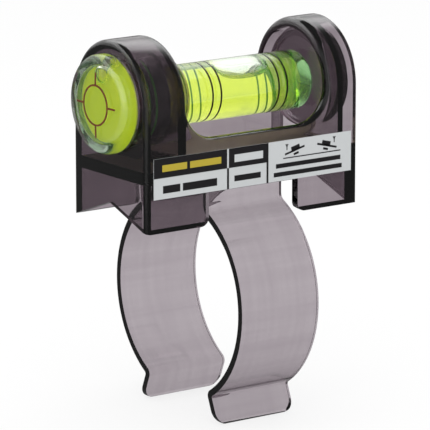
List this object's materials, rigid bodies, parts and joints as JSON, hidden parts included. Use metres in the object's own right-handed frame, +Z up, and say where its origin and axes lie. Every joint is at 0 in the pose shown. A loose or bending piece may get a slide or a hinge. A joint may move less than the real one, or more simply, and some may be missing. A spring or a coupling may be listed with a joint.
{
  "type": "pipe level",
  "caption": "Clip-on pipe level: a clear smoke-tinted body with sprung clip arms, a V seat, a tubular vial along the pipe and a round vial on the end face.",
  "frame": {"origin": "on the axis of the pipe that the clip holds, at the middle of the clip arms", "axes": "+X along the pipe, away from the round vial; +Y to the back, away from the label; +Z up through the vials"},
  "size_m": [0.0612, 0.0478, 0.0864],
  "materials": {
    "smoke_body": "clear smoke-tinted polycarbonate, polished mould",
    "clear_acrylic": "clear polished acrylic",
    "vial_plug": "moulded plug with a pale front face",
    "vial_liquid": "clear yellow-green liquid",
    "target_print": "red-brown printed lines",
    "ring_print": "black printed rings",
    "label_film": "pale satin label film",
    "label_ink": "black label print"
  },
  "bodies": {
    "root": {"body": "smoke_body", "round_vial_cup": "clear_acrylic", "round_vial_base": "vial_plug", "round_vial_liquid": "vial_liquid", "round_vial_target": "target_print", "main_vial_tube": "clear_acrylic", "main_vial_plug": "clear_acrylic", "main_vial_liquid": "vial_liquid", "main_vial_rings": "ring_print", "label": "label_film", "label_print": "label_ink"}
  },
  "joints": []
}
